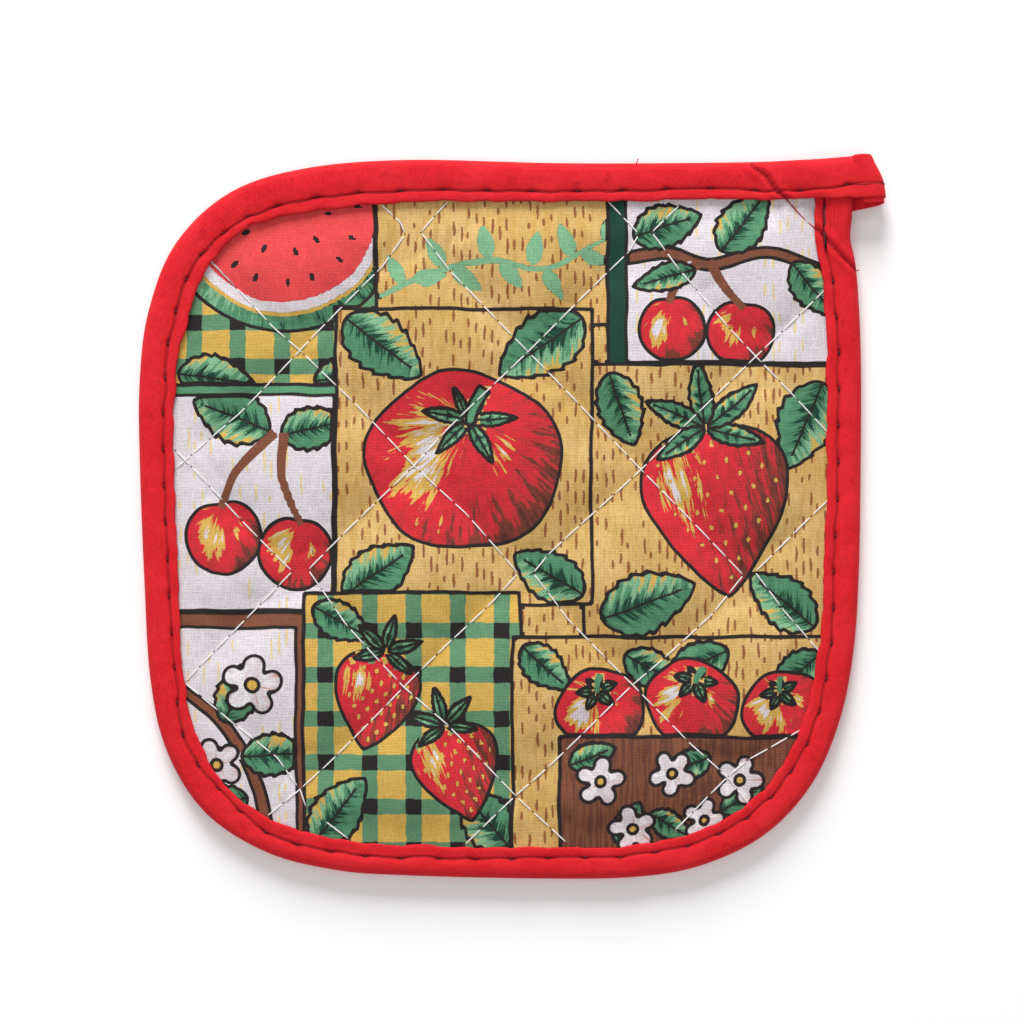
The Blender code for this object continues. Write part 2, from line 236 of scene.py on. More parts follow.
pad_rim = inside_edge(RIM_IN)
under_tape = inside_edge(edge_run[:, 2] + 0.3 * MM)
seam_runs = [[np.array(run) * MM for run in family] for family in (SEAMS_DOWN, SEAMS_UP)]
seam_parts = [(np.vstack([run[:-1] for run in family]), np.vstack([run[1:] for run in family]))
              for family in seam_runs]


def puffed(x, y):
    """How far the filling lifts the cloth over its sewn channels, by a rule of thumb."""
    shares = []
    for starts, ends in seam_parts:
        gap, _ = nearest(np.stack((x, y), axis=1), starts, ends)
        share = np.clip((np.hypot(gap, SEAM_ROUND) - SEAM_ROUND) / BETWEEN_SEAMS, 0.0, 0.5)
        shares.append(4 * share * (1 - share))
    return (shares[0] * shares[1]) ** FULLNESS


def flat_places(verts):
    """Where these vertices lie, seen from above."""
    return np.array([v.co[:2] for v in verts])


def cut_sheet(half, step, outline, turn=0.0):
    """A flat square of small faces, turned so far and cut to the outline."""
    bm = bmesh.new()
    steps = round(2 * half / step)
    bmesh.ops.create_grid(bm, x_segments=steps, y_segments=steps, size=half,
                          matrix=Matrix.Rotation(turn, 4, "Z"))
    outside = ~within(outline, flat_places(bm.verts))
    bmesh.ops.delete(bm, geom=[v for v, out in zip(bm.verts, outside) if out], context="VERTS")
    return bm


def into_scene(name, data):
    """A new object that holds this mesh, lamp or camera."""
    added = bpy.data.objects.new(name, data)
    bpy.context.scene.collection.objects.link(added)
    return added


def as_piece(name, bm):
    """Puts a finished bmesh into the scene as a smooth piece."""
    mesh = bpy.data.meshes.new(name)
    bm.to_mesh(mesh)
    bm.free()
    mesh.shade_smooth()
    return into_scene(name, mesh)


def coords(mesh):
    """A mesh's vertices as an array."""
    flat = np.zeros(len(mesh.vertices) * 3)
    mesh.vertices.foreach_get("co", flat)
    return flat.reshape(-1, 3)


def blown_cloth():
    """The front cloth as the filling blows it up between the seams.

    A sheet with some cloth to spare, held along every seam and at the tape, is pushed up from
    below by cloth simulation. It is simulated ten times as large as it is.
    """
    bm = cut_sheet(BLOWN_HALF, BLOWN_STEP, under_tape, math.pi / 4)
    flat = flat_places(bm.verts)
    gap, on_line = nearest(flat, *(np.vstack(parts) for parts in zip(*seam_parts)))
    on_seam = gap < 0.56 * BLOWN_STEP
    flat[on_seam] = on_line[on_seam]
    bm.verts.index_update()
    held = [i for i, v in enumerate(bm.verts) if v.is_boundary or on_seam[i]]
    for v, place in zip(bm.verts, flat):
        v.co = Vector((*place, 0.0)) * ENLARGED
    sheet = as_piece("blown_cloth", bm)
    sheet.vertex_groups.new(name="sewn_and_painted_shade").add(held, 1.0, "REPLACE")
    cloth = sheet.modifiers.new("blown", "CLOTH")
    for name, value in (
            ("quality", 5), ("mass", 0.3), ("tension_stiffness", 15.0),
            ("compression_stiffness", 15.0), ("shear_stiffness", 8.0),
            ("bending_stiffness", 0.3), ("air_damping", 3.0), ("shrink_min", -SPARE_CLOTH),
            ("use_pressure", True), ("uniform_pressure_force", 6.0),
            ("vertex_group_mass", "sewn_and_painted_shade")):
        setattr(cloth.settings, name, value)
    cloth.settings.effector_weights.gravity = 0.0
    cloth.collision_settings.use_collision = False
    smooth = sheet.modifiers.new("smooth", "SUBSURF")
    smooth.levels = smooth.render_levels = 1
    scene = bpy.context.scene
    for number in range(1, BLOWN_FRAMES + 1):
        scene.frame_set(number)
    shaped = sheet.evaluated_get(bpy.context.evaluated_depsgraph_get()).to_mesh()
    places = coords(shaped) / ENLARGED
    faces = [tuple(face.vertices) for face in shaped.polygons]
    scene.frame_set(1)
    bpy.data.objects.remove(sheet)
    places[:, 2] *= (CROWN - CHANNEL) / np.percentile(places[:, 2], 97)
    return BVHTree.FromPolygons(places.tolist(), faces)


def landed(tree, x, y, side=1):
    """The height at which something that comes from that side first meets the surface."""
    spots = (tree.ray_cast(Vector((a, b, 0.1 * side)), Vector((0, 0, -side)))[0]
             for a, b in zip(x, y))
    return np.array([0.0 if spot is None else spot.z for spot in spots])


def pad_heights(x, y):
    """Heights of the printed face and of the back over the table."""
    corner = corner_share(x, y)
    squeezed = RIM_HALF + (CORNER_HALF - RIM_HALF) * corner
    clear = depth_within(under_tape, np.stack((x, y), axis=1)).clip(0)
    rise = eased(RISE_AT_TAPE * eased(clear / (1.5 * MM)) + (1 - RISE_AT_TAPE) * clear / RISE)
    middle = MIDDLE + CORNER_LIFT * corner
    puff = puffed(x, y)
    lift = (CROWN - CHANNEL) * puff
    if blown:
        lift = np.clip(landed(blown, x, y), 0.0, CROWN - CHANNEL + 0.5 * MM)
    uneven = wander(x, y, 17.0 * MM, 8.7) * puff * UNEVEN
    crease_dip_and_shade = CREASE_DEPTH * hump(from_crease(x, y), CREASE_WIDTH)
    top = CHANNEL + lift + uneven - crease_dip_and_shade
    back = np.minimum(CHANNEL + (CROWN - CHANNEL) * puff, BACK_CROWN)
    return middle + squeezed + (top - squeezed) * rise, (
        middle - squeezed - (back - squeezed) * rise)


bm = cut_sheet(SHEET_HALF, CLOTH_STEP, pad_rim)
border = [v for v in bm.verts if v.is_boundary]
_, on_rim = nearest(flat_places(border), pad_rim, np.roll(pad_rim, -1, axis=0))
for v, place in zip(border, on_rim):
    v.co.x, v.co.y = place
blown = blown_cloth()
top, back = pad_heights(*flat_places(bm.verts).T)
place_of = bm.verts.layers.int.new("place")
for number, v in enumerate(bm.verts):
    v[place_of] = number
made = bmesh.ops.extrude_face_region(bm, geom=bm.faces[:])["geom"]
printed = {v for v in made if isinstance(v, bmesh.types.BMVert)}
for v in bm.verts:
    v.co.z = (top if v in printed else back)[v[place_of]]
bm.verts.layers.int.remove(place_of)
bmesh.ops.recalc_face_normals(bm, faces=bm.faces)
for face in bm.faces:
    face.material_index = 0 if face.normal.z > 0.2 else 1
pad = as_piece("quilted_pad", bm)

pad_spots = coords(pad.data)
corner_of = np.zeros(len(pad.data.loops), dtype=int)
pad.data.loops.foreach_get("vertex_index", corner_of)
pad.data.uv_layers.new(name="cloth").data.foreach_set("uv", pad_spots[corner_of][:, :2].ravel())
pad_tree = BVHTree.FromPolygons(pad_spots.tolist(), corner_of.reshape(-1, 4).tolist())


def math_node(operation, swapped=False):
    """A method of a dye that adds this Math node."""
    def method(self, *others):
        values = (self, *others)
        return self.maths(operation, *(values[::-1] if swapped else values))
    return method


class Dye:
    """One value in a material. Sums on it add the Math nodes that work it out."""

    def __init__(self, socket):
        self.socket = socket

    def node(self, kind, settings=None, sockets=None, output=0):
        """Adds a node with its settings, then its values or links, and gives one output."""
        tree = self.socket.id_data
        added = tree.nodes.new(kind)
        for name, value in (settings or {}).items():
            setattr(added, name, value)
        for name, value in (sockets or {}).items():
            if isinstance(value, Dye):
                tree.links.new(value.socket, added.inputs[name])
            else:
                added.inputs[name].default_value = value
        return Dye(added.outputs[output])

    def maths(self, operation, *values):
        return self.node("ShaderNodeMath", {"operation": operation}, dict(enumerate(values)))

    __add__ = __radd__ = math_node("ADD")
    __sub__, __rsub__ = math_node("SUBTRACT"), math_node("SUBTRACT", swapped=True)
    __mul__ = __rmul__ = math_node("MULTIPLY")
    __truediv__, __rtruediv__ = math_node("DIVIDE"), math_node("DIVIDE", swapped=True)
    __lt__, __gt__ = math_node("LESS_THAN"), math_node("GREATER_THAN")
    __abs__, floor, fraction = math_node("ABSOLUTE"), math_node("FLOOR"), math_node("FRACT")
    sine, least, most = math_node("SINE"), math_node("MINIMUM"), math_node("MAXIMUM")

    def soft(self, low, high):
        """0 at low, 1 at high, and an even S between."""
        return self.node("ShaderNodeMapRange", {"interpolation_type": "SMOOTHSTEP"},
                         {"Value": self, "From Min": low, "From Max": high})

    def dot(self, x, y, z=0.0):
        """A vector's share along that direction."""
        return self.node("ShaderNodeVectorMath", {"operation": "DOT_PRODUCT"},
                         {0: self, 1: (x, y, z)}, 1)

    def parts(self):
        """The x, y and z of a vector."""
        return self.dot(1, 0), self.dot(0, 1), self.dot(0, 0, 1)

    def placed(self, scale=(1, 1, 1), turn=0.0):
        """The coordinates of something that is turned so far and that large."""
        return self.node("ShaderNodeMapping", {"vector_type": "TEXTURE"},
                         {"Vector": self, "Rotation": (0, 0, turn), "Scale": scale})

    def cloud(self, scale, detail=2.0, output=0):
        """Soft random variation over these coordinates, about 0.5."""
        return self.node("ShaderNodeTexNoise", {"noise_dimensions": "2D"},
                         {"Vector": self, "Scale": scale, "Detail": detail}, output)

    def streaks(self, width, length, detail=2.0):
        """The same in streaks of about that width and length."""
        return self.placed((width, length, 1)).cloud(1.0, detail)

    def threads(self, length, width, detail):
        """Single uneven threads, both ways of the cloth."""
        return self.streaks(length, width, detail).most(self.streaks(width, length, detail))

    def chance(self):
        """A random value for each whole number."""
        return self.node("ShaderNodeTexWhiteNoise", {"noise_dimensions": "1D"}, {"W": self})

    def over(self, top, under, kind="RGBA"):
        """This share of top over the rest of under."""
        first = {"FLOAT": 2, "VECTOR": 4, "RGBA": 6}[kind]
        return self.node("ShaderNodeMix", {"data_type": kind},
                         {0: self, first: under, first + 1: top}, first // 2 - 1)


def shade(red, green, blue):
    """A colour as it looks on a screen, 0 to 255, as the dye's own linear colour."""
    values = [c / 255 for c in (red, green, blue)]
    return tuple(v / 12.92 if v <= 0.04045 else ((v + 0.055) / 1.055) ** 2.4
                 for v in values) + (1.0,)


def cotton(name, map_name):
    """A new cotton material and its cloth coordinates in mm."""
    material = bpy.data.materials.new(name)
    material.use_nodes = True
    source = material.node_tree.nodes.new("ShaderNodeUVMap")
    source.uv_map = map_name
    return material, Dye(source.outputs[0]).placed((MM, MM, 1))


def woven(mm, pitch):
    """A plain weave: its height, 0 to 1, from threads that go over and under in turn."""
    x, y, _ = mm.placed((pitch, pitch, 1)).parts()
    across, along = (x * math.pi).sine(), (y * math.pi).sine()
    even = ((x.floor() + y.floor()) * 0.5).fraction() * 2
    return even.over(abs(across), abs(along), "FLOAT")


def finish(material, colour, relief, strength, depth, rough, shine=0.5):
    """Gives a material its colour, its relief as bump, its roughness and its sheen."""
    bump = relief.node("ShaderNodeBump", {}, {
        "Strength": strength, "Distance": depth, "Height": relief})
    shader = material.node_tree.nodes["Principled BSDF"]
    material.node_tree.links.new(colour.socket, shader.inputs["Base Color"])
    material.node_tree.links.new(bump.socket, shader.inputs["Normal"])
    shader.inputs["Roughness"].default_value = rough
    shader.inputs["Specular IOR Level"].default_value = shine
    return material


INK = shade(40, 34, 34)
RED = shade(214, 44, 56)
RUSSET = shade(120, 56, 46)
MUSTARD = shade(212, 172, 84)
STRAW = shade(208, 169, 100)
PALE = shade(220, 212, 218)
LEAF = shade(86, 144, 106)
PALE_LEAF = shade(128, 178, 138)
CHECK_GREEN = shade(96, 142, 106)
DEEP_LEAF = shade(24, 66, 52)
BARK = shade(128, 78, 56)
DASH = shade(134, 68, 40)
PALE_DASH = shade(228, 200, 130)

# Panels of the printed patchwork, each over those before it: left, bottom, right, top,
# its ground and its frame's width. Millimetres.
STRAW_GROUND, LINEN_GROUND, CHECK_GROUND, BROWN_GROUND = range(4)
PANELS = (
    (-110, -110, 110, 110, STRAW_GROUND, 0.0),
    (-110, 28, -34, 110, CHECK_GROUND, 0.0),
    (-34, 48, 26, 110, STRAW_GROUND, 0.0),
    (24, 34, 110, 110, LINEN_GROUND, 4.6),
    (-110, -26, -42, 33, LINEN_GROUND, 2.6),
    (18, -32, 110, 38, STRAW_GROUND, 0.0),
    (-44, -22, 20, 52, STRAW_GROUND, 0.0),
    (-110, -110, -50, -24, LINEN_GROUND, 3.8),
    (-52, -110, 2, -19, CHECK_GROUND, 0.0),
    (0, -110, 110, -30, STRAW_GROUND, 0.0),
    (12, -110, 80, -55, BROWN_GROUND, 0.0),
)

# The inks of a motif: body, shade, light and brightest.
RED_INKS = (RED, RUSSET, MUSTARD, PALE)
LEAF_INKS = (LEAF, DEEP_LEAF, PALE_LEAF, MUSTARD)
SPRIG_INKS = (PALE_LEAF, LEAF, PALE_LEAF, PALE_LEAF)
BARK_INKS = (BARK, RUSSET, shade(170, 124, 88), MUSTARD)
PETAL_INKS = (PALE, shade(204, 150, 140), shade(236, 230, 232), PALE)
PIP_INKS = (INK, INK, INK, INK)
STRAW_INKS = (MUSTARD, shade(176, 120, 60), MUSTARD, PALE)
MELON_INKS = (shade(226, 74, 76), RED, shade(236, 120, 108), shade(240, 150, 130))


def turned(x, y, degrees):
    """The places seen by something that is turned so far."""
    c, s = math.cos(math.radians(degrees)), math.sin(math.radians(degrees))
    return x * c + y * s, y * c - x * s


def ring_outline(radius_at, squash=1.0):
    """A closed outline round its middle, with the radius that the rule gives each way."""
    turn = np.linspace(0, 2 * math.pi, 72, endpoint=False)
    radius = radius_at(turn)
    return np.stack((radius * np.cos(turn), radius * np.sin(turn) * squash), axis=1)


def oval_outline(radius, squash=1.0):
    return ring_outline(lambda turn: np.full_like(turn, radius), squash)


def leaf_outline(length, breadth, teeth):
    """From the stalk along the leaf to its tip and back, toothed on both sides."""
    t = np.linspace(0, 1, 8 * teeth + 1)
    half = length * breadth / 2 * np.sin(math.pi * t ** 0.8).clip(0) ** 0.75
    half *= 1 - 0.17 * (t * teeth % 1.0)
    up = np.stack((length * t, half), axis=1)
    return np.vstack((up, (up * (1, -1))[-2:0:-1]))


def berry_outline(length):
    """Broad at the shoulders, pointed at the tip."""
    t = np.linspace(0, 1, 32)
    half = length * 0.43 * np.sin(math.pi * t ** 0.62).clip(0) ** 0.8
    right = np.stack((half, length * (0.42 - t)), axis=1)
    return np.vstack((right, (right * (-1, 1))[-2:0:-1]))


def strip_outline(points, start_width, end_width):
    """A stroke along the points."""
    run, _ = evenly(smooth_run(points, 8), 1.0)
    _, right = headings(run)
    right *= np.linspace(start_width, end_width, len(run))[:, None] / 2
    return np.vstack((run - right, (run + right)[::-1]))


# A look gives, for places on a motif: the share of shade and of light, how far along and out
# its strokes run there, and the distance from its rib.
NO_RIB = 9.0


def plain_look(x, y):
    """No hatching and no rib."""
    none = np.full_like(x, -2.0)
    return none, none, x, y, none + 11.0


def leaf_look(length, breadth):
    """Dark beside the rib, pale on the upper side, strokes that slant from the rib."""
    def look(x, y):
        across = y / (length * breadth / 2)
        dark = 0.90 - 1.35 * np.abs(across) - 1.05 * np.abs(x / length - 0.36)
        light = 0.86 * across + 0.25 * (x / length) + 0.12
        rib = np.where(x < 0.86 * length, y, NO_RIB)
        return dark, light, x - 0.75 * np.abs(y), np.abs(y) * 1.4, rib
    return look


def round_look(radius, stalk, lobes):
    """Strokes that fan out from the stalk, a bright patch left and a shaded side right."""
    def look(x, y):
        away = np.hypot(x, y) / radius
        down = y / radius - stalk
        ray = np.arctan2(x / radius, -down)
        reach = np.hypot(x / radius, down)
        furrow = 0.75 - 3.2 * np.abs(np.sin(ray * lobes / 2)) * reach - 1.1 * reach
        dark = np.maximum(0.55 * x / radius - 0.45 * y / radius + 0.62 * away ** 3 - 0.20,
                          furrow if lobes else -2.0)
        patch = np.hypot((x / radius + 0.42) * 2.3, (y / radius - 0.02) * 1.25)
        glint = np.hypot((x / radius - 0.38) * 4.6, (y / radius - 0.1) * 2.4)
        light = np.maximum(1.02 - patch, 0.72 - glint)
        return dark, light, ray * radius * 0.55, reach * radius, np.full_like(x, NO_RIB)
    return look


def berry_look(length):
    """Strokes from the shoulders to the tip, shaded right, with a bright patch left."""
    def look(x, y):
        across, up = x / length, y / length
        dark = 1.9 * across - 0.7 * up + 0.10
        light = 0.95 - np.hypot((across + 0.2) * 5.5, (up - 0.1) * 3.4)
        return dark, light, x + y * 0.12, y, np.full_like(x, NO_RIB)
    return look


def panel_depth(number, x, y):
    """How far inside that panel's border, less than 0 outside."""
    left, low, right, high, _, _ = PANELS[number]
    return np.minimum(np.minimum(x - left, right - x), np.minimum(y - low, high - y))


def print_patchwork():
    """Lays the panels and their motifs on the cloth, face by face.

    A face keeps what lies on top and what that leaves bare, each with its depth inside its
    outline, in mm, so that an outline is sharp wherever it crosses the face.
    """
    lean = np.stack([wander(*pad_spots.T[:2], 9 * MM, seed) * 0.5
                     + wander(*pad_spots.T[:2], 2.6 * MM, seed) * 0.14
                     for seed in (2.5, 6.5)], axis=1)
    spots = (pad_spots[:, :2] / MM)[corner_of].reshape(-1, 4, 2)
    spots = spots + lean[corner_of].reshape(-1, 4, 2)
    centres = spots.mean(axis=1)
    printed = np.array([face.material_index == 0 for face in pad.data.polygons])
    plates = {level + plate: np.full(spots.shape[:2] + (3,), -1.0)
              for level in ("over_", "under_")
              for plate in ("shape", "flow", "body", "shade", "light", "bright", "panel")}

    def lay(rows, **new):
        for plate, values in new.items():
            plates["under_" + plate][rows] = plates["over_" + plate][rows]
            plates["over_" + plate][rows] = values

    for number, (*_, ground, rim) in enumerate(PANELS):
        depth = panel_depth(number, spots[..., 0], spots[..., 1])
        rows = np.flatnonzero(depth.max(axis=1) > -0.7)
        kinds = np.broadcast_to((ground, rim), depth[rows].shape + (2,))
        lay(rows, panel=np.concatenate((depth[rows][..., None], kinds), axis=2))

    def stamp(panel, x0, y0, degrees, inks, outline, look=plain_look, inked=True):
        x, y = turned(centres[:, 0] - x0, centres[:, 1] - y0, degrees)
        (left, low), (right, high) = outline.min(axis=0) - 1.0, outline.max(axis=0) + 1.0
        rows = np.flatnonzero((x > left) & (x < right) & (y > low) & (y < high) & printed)
        here = np.moveaxis(spots[rows], 2, 0)
        x, y = turned(here[0] - x0, here[1] - y0, degrees)
        depth = depth_within(outline, np.stack((x.ravel(), y.ravel()), axis=1))
        depth = depth.reshape(x.shape) * (1.0 if inked else 50.0)
        depth = np.minimum(depth, panel_depth(panel, *here) - PANELS[panel][5])
        for later in range(panel + 1, len(PANELS)):
            depth = np.minimum(depth, -panel_depth(later, *here))
        hit = depth.max(axis=1) > 0.0
        dark, light, along, out, rib = (value[hit] for value in look(x, y))
        lay(rows[hit], shape=np.stack((depth[hit], dark, light), axis=2),
            flow=np.stack((along + x0 * 3.7, out, rib), axis=2),
            **{plate: np.array(ink[:3]) for plate, ink in
               zip(("body", "shade", "light", "bright"), inks)})

    def on(x, y, degrees, right, up):
        """Where a point of a motif, so far right and up of its middle, lies on the cloth."""
        dx, dy = turned(right, up, -degrees)
        return x + dx, y + dy

    def leaf(panel, x, y, length, degrees, breadth=0.66):
        stamp(panel, x, y, degrees, LEAF_INKS, leaf_outline(length, breadth, 7),
              leaf_look(length, breadth))

    def sprig(panel, x, y, degrees, length=9.5):
        stamp(panel, x, y, degrees, SPRIG_INKS, leaf_outline(length, 0.5, 1), inked=False)

    def branch(panel, inks, start_width, end_width, *points, inked=False):
        stamp(panel, 0, 0, 0, inks, strip_outline(points, start_width, end_width), inked=inked)

    def bough(panel, start_width, end_width, *points):
        branch(panel, BARK_INKS, start_width, end_width, *points, inked=True)

    def tomato(panel, x, y, radius, degrees):
        large = radius > 20
        stamp(panel, x, y, degrees, RED_INKS, ring_outline(
            lambda turn: radius * (1 - 0.03 * np.cos(5 * turn + 0.6)), 0.9),
            round_look(radius, 0.42, 5))
        stalk = on(x, y, degrees, 0.0, 0.42 * radius)
        for arm, share in ((8, 0.52), (64, 0.36), (122, 0.38), (176, 0.5), (232, 0.5),
                           (304, 0.54)):
            leaf(panel, *stalk, radius * share, degrees + arm, 0.36 if large else 0.60)
        stamp(panel, *stalk, degrees + 12, LEAF_INKS, strip_outline(
            ((0, -0.06 * radius), (radius * 0.06, radius * 0.12), (radius * 0.2, radius * 0.3)),
            radius * 0.12, radius * 0.16), inked=large)

    def cherry(panel, x, y, radius, degrees, stem_x, stem_y):
        stamp(panel, x, y, degrees, RED_INKS, ring_outline(
            lambda turn: radius * (1 - 0.11 * hump(turn - math.pi / 2, 0.35))),
            round_look(radius, 0.8, 0))
        top_x, top_y = on(x, y, degrees, 0.0, 0.84 * radius)
        bend_x = (top_x + stem_x) / 2 + (y - stem_y) * 0.08
        branch(panel, BARK_INKS, 2.0, 2.6, (top_x, top_y - 1.0),
               (bend_x, (top_y + stem_y) / 2), (stem_x, stem_y))

    def berry(panel, x, y, length, degrees):
        stamp(panel, x, y, degrees, RED_INKS, berry_outline(length), berry_look(length))
        for row in range(9):
            level = 0.30 - row * 0.095
            half = 0.43 * math.sin(math.pi * min((0.42 - level) ** 0.62, 0.99)) ** 0.8
            for place in np.arange(-0.5, 0.51, 0.13) + (row % 2) * 0.065:
                if abs(place) < half - 0.07:
                    seed = on(x, y, degrees, place * length,
                              (level + place * place * 0.25) * length)
                    stamp(panel, *seed, degrees, STRAW_INKS, oval_outline(0.55, 1.55),
                          inked=False)
        crown = on(x, y, degrees, 0.0, 0.40 * length)
        for arm in (-74, -38, 0, 38, 74):
            leaf(panel, *crown, length * (0.34 + 0.05 * math.cos(arm)),
                 degrees + 90 + arm * 1.55, 0.42)

    def blossom(panel, x, y, radius, degrees):
        stamp(panel, x, y, degrees, PETAL_INKS, ring_outline(
            lambda turn: radius * (0.5 + 0.5 * np.abs(np.cos(turn * 2.5)) ** 0.55)),
            round_look(radius * 1.25, 0.0, 5))
        stamp(panel, x, y, 0, STRAW_INKS, oval_outline(radius * 0.26), round_look(radius, 0, 0))

    def melon(panel, x, y, radius, degrees):
        half = np.linspace(0, -math.pi, 40)
        rind = np.stack((np.cos(half), np.sin(half)), axis=1) * radius
        stamp(panel, x, y, degrees, LEAF_INKS, rind, round_look(radius * 1.3, 0.2, 0))
        for inks, size in ((STRAW_INKS, 0.87), (PETAL_INKS, 0.84), (MELON_INKS, 0.76)):
            stamp(panel, x, y, degrees, inks, rind * size, inked=False)
        for ring, count in ((0.36, 5), (0.60, 8)):
            for number in range(count):
                turn = -math.pi * (number + 0.5 + 0.15 * (number % 2)) / count
                pip = on(x, y, degrees, math.cos(turn) * ring * radius,
                         math.sin(turn) * ring * radius)
                stamp(panel, *pip, degrees + math.degrees(turn), PIP_INKS,
                      oval_outline(1.25, 0.55), inked=False)
        stamp(panel, x, y, degrees, PIP_INKS, strip_outline(
            ((-radius, 0), (0, 0.2), (radius, 0)), 0.9, 0.9), inked=False)

    # the motifs in the order of printing; in each row the panel comes first
    for motif, *rows in (
            (leaf, (1, -84, 36, 20, -8), (1, -50, 34, 17, 8)),
            (melon, (1, -57, 77, 31, 14)),
            (branch, (2, SPRIG_INKS, 1.7, 1.5, (-36, 54), (-22, 60), (-6, 64), (8, 62),
                      (24, 70))),
            (sprig, (2, -27, 58, 120), (2, -25, 59, 10), (2, -17, 62, 118), (2, -15, 62, -35),
             (2, -6, 64, 100), (2, -3, 64, -50), (2, 5, 62.5, 80), (2, 8, 62, -60),
             (2, 15, 65, 110), (2, 17, 66, -20), (2, 22, 69, 60)),
            (bough, (3, 4.0, 3.2, (24, 64), (38, 66), (50, 63), (64, 66), (84, 60))),
            (leaf, (3, 30, 70, 19, 18), (3, 52, 66, 20, 52), (3, 70, 64, 18, -52)),
            (cherry, (3, 40, 47, 8.6, 8, 47, 64), (3, 57, 46, 8.8, -8, 49, 64)),
            (leaf, (3, 46, 62, 17, 196, 0.5), (4, -58, 20, 19, 14), (4, -60, 21, 22, 158)),
            (cherry, (4, -72, -5, 9.8, 8, -59, 21), (4, -54, -9, 9.6, -10, -57, 21)),
            (leaf, (5, 78, 34, 25, 246), (5, 22, -26, 26, 22), (5, 76, -28, 22, 140),
             (5, 24, 36, 20, -70)),
            (berry, (5, 51, 5, 44, 8)),
            (leaf, (6, -42, 50, 25, -38), (6, 18, 50, 26, 214), (6, 18, -20, 21, 148),
             (6, -42, -20, 22, 36)),
            (tomato, (6, -12, 14, 25, -6)),
            (bough, (7, 4.2, 3.2, (-60, -84), (-64, -66), (-72, -52), (-84, -42))),
            (leaf, (7, -68, -60, 19, 4), (7, -72, -52, 18, 66), (7, -66, -70, 17, 196)),
            (blossom, (7, -65, -42, 8.0, 10), (7, -74, -62, 7.0, 40)),
            (leaf, (8, -50, -22, 17, -30), (8, 0, -84, 22, 128), (8, -50, -82, 22, 52)),
            (berry, (8, -34, -44, 26, -14), (8, -14, -62, 26, 16)),
            (leaf, (9, 2, -32, 17, -42), (9, 28, -34, 17, -30), (9, 54, -33, 18, 205),
             (9, 78, -34, 18, 218)),
            (tomato, (9, 22, -48, 11.5, 12), (9, 45, -46, 12, -10), (9, 68, -48, 11, 16)),
            (leaf, (10, 14, -62, 13, 20), (10, 34, -74, 13, -30), (10, 50, -60, 13, 200),
             (10, 52, -74, 13, 30), (10, 26, -82, 13, 60)),
            (blossom, (10, 22, -66, 6.6, 12), (10, 40, -64, 6.2, 50), (10, 30, -78, 6.4, 30),
             (10, 57, -66, 6.6, 70), (10, 48, -76, 5.8, 5))):
        for row in rows:
            motif(*row)

    for name, values in plates.items():
        pad.data.attributes.new(name, "FLOAT_VECTOR", "CORNER").data.foreach_set(
            "vector", values.ravel())


